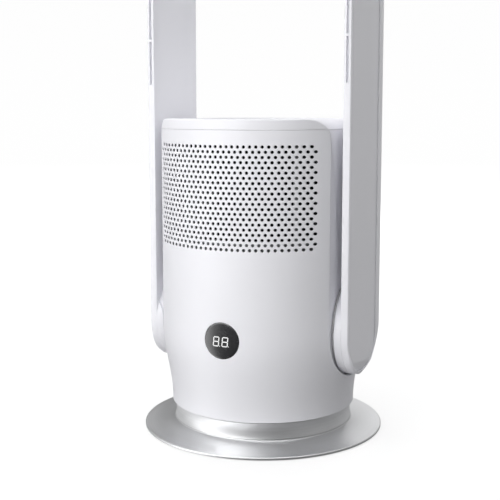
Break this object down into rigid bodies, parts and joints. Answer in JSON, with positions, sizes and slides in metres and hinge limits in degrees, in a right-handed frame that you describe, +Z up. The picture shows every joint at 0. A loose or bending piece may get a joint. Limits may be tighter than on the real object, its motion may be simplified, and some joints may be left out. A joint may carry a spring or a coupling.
{
  "type": "bladeless fan",
  "caption": "Bladeless tower fan: a round perforated body swings on a flat metal foot, and a tall hollow hoop with slots in its front edge tilts on two side pivots.",
  "frame": {"origin": "on the floor, on the vertical axis that the body swings about, at the centre of the round foot", "axes": "+Z up; the front with the display faces -Y; +X is to the right of someone who looks at the front"},
  "size_m": [0.24, 0.24, 1],
  "materials": {
    "white_plastic": "satin white moulding",
    "spun_aluminium": "satin, spun in fine rings",
    "black_rubber": "matt",
    "grey_plastic": "fine moulded grain",
    "black_plastic": "fine moulded grain",
    "ballast_iron": "as cast",
    "steel": "zinc plated",
    "acetal": "waxy natural",
    "circuit_board": "varnished",
    "display_window": "polished smoked window",
    "filter_paper": "pleated fibre"
  },
  "bodies": {
    "base": {"base_disc": "spun_aluminium", "foot_ring": "black_rubber", "base_cover": "grey_plastic", "ballast_plate": "ballast_iron", "cover_screw_1": "steel", "cover_screw_2": "steel", "cover_screw_3": "steel", "cover_screw_4": "steel", "base_deck": "grey_plastic", "glide_ring": "acetal", "neck_ring": "spun_aluminium", "power_inlet": "black_plastic", "spindle": "steel", "spindle_washer": "steel", "spindle_nut": "steel", "gear_sector": "steel"},
    "tower": {"oscillation_motor": "steel", "turntable": "grey_plastic", "turntable_bush": "acetal", "control_board": "circuit_board", "front_shell": "white_plastic", "rear_shell": "white_plastic", "side_panel_left": "white_plastic", "side_panel_right": "white_plastic", "display_lens": "display_window", "display_holder": "grey_plastic", "display_board": "circuit_board", "plenum_housing": "grey_plastic", "diffuser": "grey_plastic", "motor_damper": "black_rubber", "motor": "steel", "impeller_shroud": "grey_plastic", "intake_deck": "grey_plastic", "pivot_friction_ring_left": "black_rubber", "pivot_friction_ring_right": "black_rubber", "pivot_bush_left": "acetal", "pivot_bush_right": "acetal", "pivot_retaining_ring_left": "steel", "pivot_retaining_ring_right": "steel"},
    "swing_pinion": {"oscillation_pinion": "acetal"},
    "fan_wheel": {"impeller": "acetal", "motor_shaft": "steel", "impeller_nut": "steel"},
    "lid": {"top_lid": "white_plastic", "filter_frame": "grey_plastic", "filter_media": "filter_paper", "filter_gasket": "black_rubber"},
    "hoop": {"front_trim": "white_plastic", "duct_frame": "white_plastic", "leg_panel_left": "white_plastic", "leg_panel_right": "white_plastic", "arch_panel": "white_plastic", "pivot_boss_left": "white_plastic", "pivot_boss_right": "white_plastic"}
  },
  "joints": [
    {"name": "swing", "type": "hinge", "parent": "base", "child": "tower", "pos_m": [0, 0, 0], "axis": [0, 0, 1], "range_deg": [-45, 45]},
    {"name": "pinion_turn", "type": "hinge", "parent": "tower", "child": "swing_pinion", "pos_m": [0, 0.045, 0], "axis": [0, 0, 1], "range_deg": [-185, 185]},
    {"name": "fan_spin", "type": "hinge", "parent": "tower", "child": "fan_wheel", "pos_m": [0, 0, 0.16], "axis": [0, 0, 1], "continuous": true},
    {"name": "hoop_tilt", "type": "hinge", "parent": "tower", "child": "hoop", "pos_m": [0, 0, 0.107], "axis": [1, 0, 0], "range_deg": [-10, 10]},
    {"name": "lid_lift", "type": "slide", "parent": "tower", "child": "lid", "axis": [0, 0, 1], "range_m": [0, 0.12]}
  ],
  "couplings": [
    {"joint": "pinion_turn", "follows": "swing", "ratio": 4}
  ]
}
